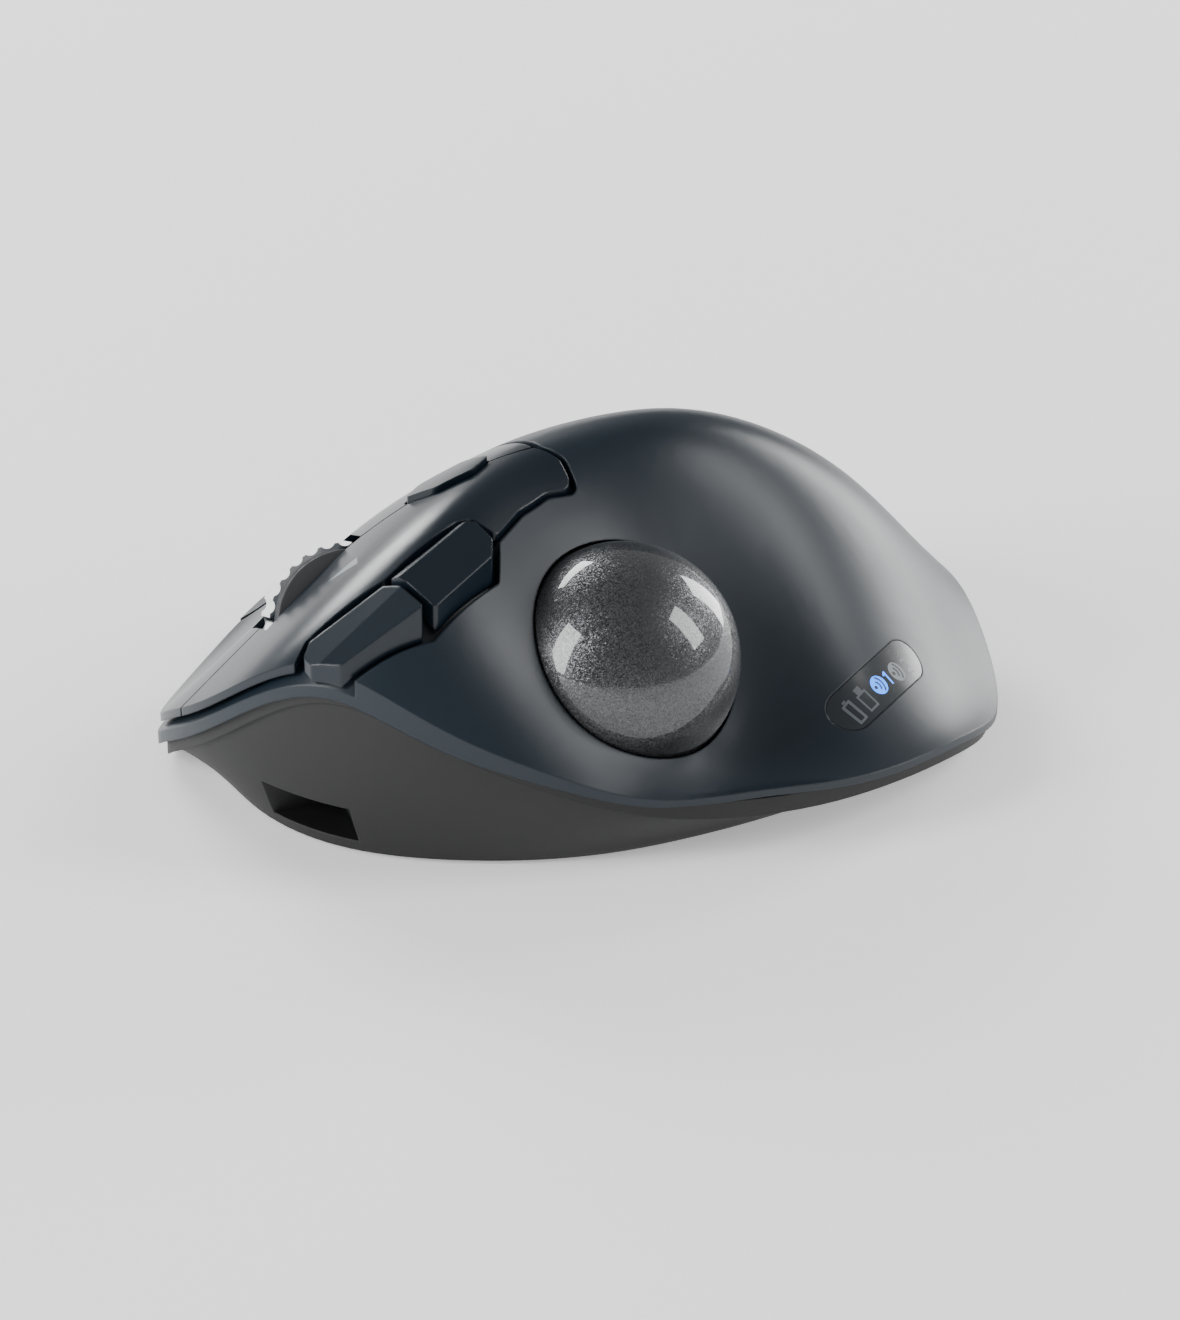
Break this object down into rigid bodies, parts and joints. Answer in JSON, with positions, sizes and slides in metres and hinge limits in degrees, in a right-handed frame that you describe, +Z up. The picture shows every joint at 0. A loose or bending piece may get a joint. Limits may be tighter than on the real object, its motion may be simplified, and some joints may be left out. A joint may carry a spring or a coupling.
{
  "type": "trackball mouse",
  "caption": "Right-handed thumb-ball mouse: leaning palm shell, hinged finger plates, fluted wheel, side and mode keys, lit status window and charging recess.",
  "frame": {"origin": "on the desk under the middle of the body's outline", "axes": "+X to the user's right, +Y towards the finger end, +Z up; thumb side at -X"},
  "size_m": [0.0941, 0.1272, 0.0504],
  "materials": {
    "shell_satin": "satin slate coat",
    "base_plastic": "matte charcoal plastic",
    "key_plastic": "satin slate coat",
    "ball_resin": "clear coat over dark flakes",
    "wheel_chrome": "polished",
    "wheel_side": "fine matte",
    "window_lens": "smoked, polished",
    "inner_plastic": "moulded",
    "clear_plastic": "clear moulding",
    "bearing_ceramic": "polished",
    "pin_steel": "drawn",
    "screw_steel": "zinc plated",
    "board_laminate": "solder mask",
    "chip_epoxy": "moulded epoxy",
    "port_steel": "stamped",
    "cell_wrap": "foil pouch",
    "foot_slip": "slick pad",
    "led_white": "cast"
  },
  "bodies": {
    "case": {"base_cover": "base_plastic", "top_cover": "shell_satin", "status_window": "window_lens", "light_guide": "clear_plastic", "status_leds": "led_white", "led_board": "board_laminate", "ball_cup": "inner_plastic", "cup_bearings": "bearing_ceramic", "sensor_lens": "clear_plastic", "sensor_board": "board_laminate", "optical_sensor": "chip_epoxy", "wheel_bracket": "inner_plastic", "switch_board": "board_laminate", "left_switch": "inner_plastic", "right_switch": "inner_plastic", "middle_switch": "inner_plastic", "mode_switch": "inner_plastic", "side_board": "board_laminate", "side_switches": "inner_plastic", "main_board": "board_laminate", "board_chips": "chip_epoxy", "underside_switches": "inner_plastic", "charge_board": "board_laminate", "charge_port": "port_steel", "battery": "cell_wrap", "left_hinge_pin": "pin_steel", "right_hinge_pin": "pin_steel", "case_screws": "screw_steel", "board_screws": "screw_steel", "rubber_feet": "foot_slip"},
    "left_plate": {"left_button": "key_plastic"},
    "right_plate": {"right_button": "key_plastic"},
    "front_side_key": {"front_side_button": "key_plastic"},
    "back_side_key": {"back_side_button": "key_plastic"},
    "mode_key": {"mode_button": "key_plastic"},
    "cradle": {"wheel_cradle": "inner_plastic", "wheel_encoder": "inner_plastic"},
    "wheel": {"wheel_hub": "wheel_side", "wheel_cap": "wheel_side", "wheel_ring": "wheel_chrome", "wheel_axle": "pin_steel"},
    "ball": {"ball": "ball_resin"},
    "power_slider": {"power_switch": "inner_plastic"},
    "pairing_key": {"pairing_button": "inner_plastic"}
  },
  "joints": [
    {"name": "left_click", "type": "hinge", "parent": "case", "child": "left_plate", "pos_m": [-0.0062, 0.009, 0.04209], "axis": [1, 0, 0], "range_deg": [-0.65, 0], "stiffness_Nm_per_rad": 1.3, "springref_deg": 0.8},
    {"name": "right_click", "type": "hinge", "parent": "case", "child": "right_plate", "pos_m": [0.0042, 0.0126, 0.03997], "axis": [1, 0, 0], "range_deg": [-0.65, 0], "stiffness_Nm_per_rad": 1.3, "springref_deg": 0.8},
    {"name": "front_side_press", "type": "slide", "parent": "case", "child": "front_side_key", "axis": [0.3007, 0, -0.9537], "range_m": [0, 0.0005], "stiffness_N_per_m": 900, "springref_m": -0.0005},
    {"name": "back_side_press", "type": "slide", "parent": "case", "child": "back_side_key", "axis": [0.3007, 0, -0.9537], "range_m": [0, 0.0005], "stiffness_N_per_m": 900, "springref_m": -0.0005},
    {"name": "mode_press", "type": "slide", "parent": "case", "child": "mode_key", "axis": [0, 0, -1], "range_m": [0, 0.0005], "stiffness_N_per_m": 900, "springref_m": -0.0005},
    {"name": "wheel_press", "type": "hinge", "parent": "case", "child": "cradle", "pos_m": [0.00058, 0.02402, 0.03282], "axis": [0.9272, 0, -0.3746], "range_deg": [-1.6, 0], "stiffness_Nm_per_rad": 0.35, "springref_deg": 1.6},
    {"name": "wheel_spin", "type": "hinge", "parent": "cradle", "child": "wheel", "pos_m": [-0.0025, 0.0374, 0.0252], "axis": [0.9272, 0, -0.3746], "continuous": true},
    {"name": "ball_roll", "type": "hinge", "parent": "case", "child": "ball", "pos_m": [-0.0253, 0.002, 0.0243], "axis": [0.8081, 0, 0.5891], "continuous": true},
    {"name": "power_slide", "type": "slide", "parent": "case", "child": "power_slider", "axis": [1, 0, 0], "range_m": [0, 0.004]},
    {"name": "pairing_press", "type": "slide", "parent": "case", "child": "pairing_key", "axis": [0, 0, 1], "range_m": [0, 0.0004], "stiffness_N_per_m": 900, "springref_m": -0.0004}
  ]
}
